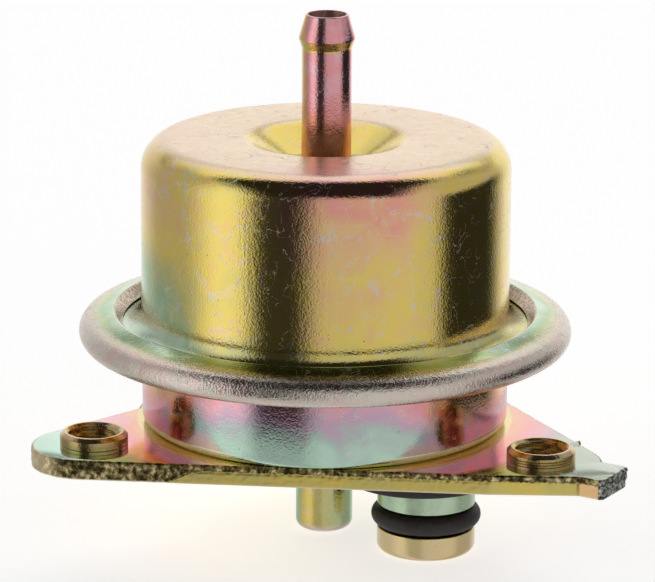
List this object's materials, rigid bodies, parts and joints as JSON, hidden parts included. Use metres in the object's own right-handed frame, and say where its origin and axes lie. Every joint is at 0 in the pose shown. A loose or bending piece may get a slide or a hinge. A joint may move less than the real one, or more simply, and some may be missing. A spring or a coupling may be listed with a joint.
{
  "type": "fuel pressure regulator",
  "caption": "Diaphragm fuel pressure regulator: plated steel cap and cup crimped at a rim, vacuum nipple, return tube, sealed inlet spigot and a mounting plate with threaded collars.",
  "frame": {"origin": "on the axis of cap, cup and return tube, at the level of the mounting plate's underside", "axes": "+Z along the main axis towards the vacuum nipple, +X along the line of the two threaded collars towards the tab"},
  "size_m": [0.0596, 0.05, 0.0537],
  "materials": {
    "gold_plate": "zinc plate with yellow chromate, gold with green and pink tints",
    "rose_plate": "zinc plate with yellow chromate, pink and violet tints",
    "mint_plate": "zinc plate with yellow chromate, pale green tint",
    "bare_steel": "bare bright steel",
    "black_rubber": "matte black fuel-proof rubber",
    "membrane": "rubberised fabric"
  },
  "bodies": {
    "housing": {"mounting_plate": "rose_plate", "fuel_cup": "rose_plate", "spring_cap": "gold_plate", "vacuum_nipple": "rose_plate", "return_tube": "gold_plate", "valve_seat": "bare_steel", "inlet_spigot": "mint_plate", "spigot_o_ring": "black_rubber", "seal_washer": "black_rubber", "inlet_strainer": "bare_steel", "diaphragm": "membrane", "main_spring": "bare_steel"},
    "valve": {"backing_plate": "bare_steel", "spring_plate": "bare_steel", "valve_holder": "bare_steel", "valve_ball": "bare_steel", "ball_spring": "bare_steel", "ball_retainer": "bare_steel"}
  },
  "joints": [
    {"name": "valve_lift", "type": "slide", "parent": "housing", "child": "valve", "axis": [0, 0, 1], "range_m": [0, 0.0008], "stiffness_N_per_m": 6700, "springref_m": -0.0002, "deforming": ["main_spring", "diaphragm"]}
  ]
}
